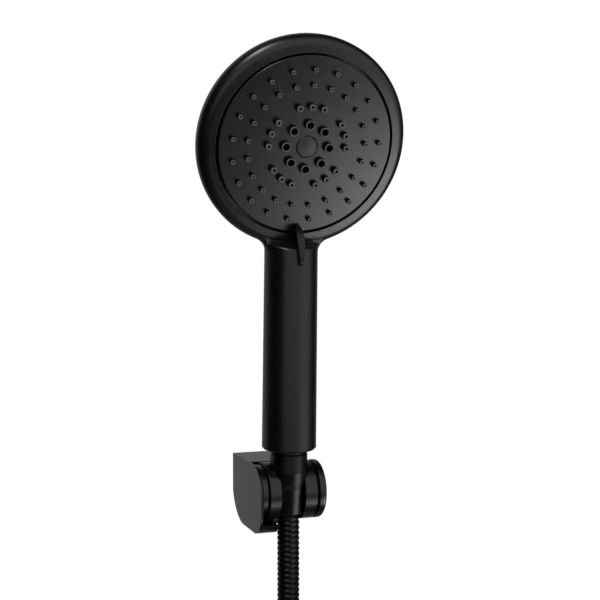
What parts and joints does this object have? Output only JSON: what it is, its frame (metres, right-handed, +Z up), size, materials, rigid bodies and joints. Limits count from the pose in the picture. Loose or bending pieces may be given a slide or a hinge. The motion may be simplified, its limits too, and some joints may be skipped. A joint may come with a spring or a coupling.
{
  "type": "handheld shower head",
  "caption": "Round-faced handheld shower head with a straight grip and selector lever, in a tilting wall holder, with its flexible metal hose.",
  "frame": {"origin": "on the wall behind the holder, level with the holder's pivot and in the handset's middle plane", "axes": "+Y into the wall, +Z up, +X to the right of someone who faces the wall"},
  "size_m": [0.2143, 0.1086, 0.5847],
  "materials": {
    "black_plastic": "satin black",
    "gloss_black": "glossy black",
    "black_rubber": "matt",
    "seal_rubber": "matt",
    "grey_nylon": "matt moulded",
    "black_nylon": "matt",
    "steel": "satin",
    "black_metal": "satin black coated"
  },
  "bodies": {
    "bracket": {"bracket_body": "black_plastic", "wall_hanger": "grey_nylon", "lock_screw": "steel", "hub_ring": "black_plastic", "hub_insert": "grey_nylon", "pivot_screw": "steel"},
    "cradle": {"cradle": "black_plastic", "friction_washer": "grey_nylon", "end_cap": "black_plastic"},
    "handset": {"handset_shell": "black_plastic", "threaded_inlet": "gloss_black", "waterway_tube": "grey_nylon", "inlet_plug_seal": "seal_rubber", "tube_seal": "seal_rubber", "flow_restrictor": "grey_nylon", "inlet_filter": "steel", "inlet_washer": "seal_rubber", "cone_nut": "gloss_black", "hose_ferrule": "black_metal", "distributor": "grey_nylon", "distributor_screws": "steel", "port_seal": "seal_rubber", "port_spring": "steel", "detent_pin": "grey_nylon", "detent_spring": "steel"},
    "selector": {"face_plate": "black_plastic", "nozzle_membrane": "black_rubber", "chamber_plate": "grey_nylon", "chamber_seal": "seal_rubber", "hub_screw": "steel", "centre_cap": "black_plastic", "selector_lever": "black_plastic"},
    "hose_end": {"hose_neck": "black_metal"},
    "hose": {"hose": "black_metal", "hose_coil": "black_metal", "hose_tie": "black_nylon", "hose_tail": "black_metal", "hose_end_sleeve": "black_metal", "end_washer": "seal_rubber"},
    "hex_nut": {"hex_nut": "black_metal"}
  },
  "joints": [
    {"name": "cradle_tilt", "type": "hinge", "parent": "bracket", "child": "cradle", "pos_m": [0, -0.048, 0], "axis": [1, 0, 0], "range_deg": [-5, 30]},
    {"name": "handset_lift", "type": "slide", "parent": "cradle", "child": "handset", "axis": [0, -0.0349, 0.9994], "range_m": [0, 0.045]},
    {"name": "selector_turn", "type": "hinge", "parent": "handset", "child": "selector", "pos_m": [0, -0.09145, 0.21296], "axis": [0, -0.9397, -0.342], "range_deg": [-30, 30]},
    {"name": "hose_swing", "type": "hinge", "parent": "handset", "child": "hose_end", "pos_m": [0, -0.05455, -0.01279], "axis": [1, 0, 0], "range_deg": [-30, 5]},
    {"name": "hose_swivel", "type": "hinge", "parent": "hose_end", "child": "hose", "pos_m": [0, -0.05455, -0.02079], "axis": [0, 0, 1], "continuous": true},
    {"name": "hex_nut_turn", "type": "hinge", "parent": "hose", "child": "hex_nut", "pos_m": [0, -0.09655, -0.3013], "axis": [0, 0, -1], "continuous": true}
  ],
  "couplings": [
    {"joint": "hose_swing", "follows": "cradle_tilt", "ratio": -1}
  ]
}
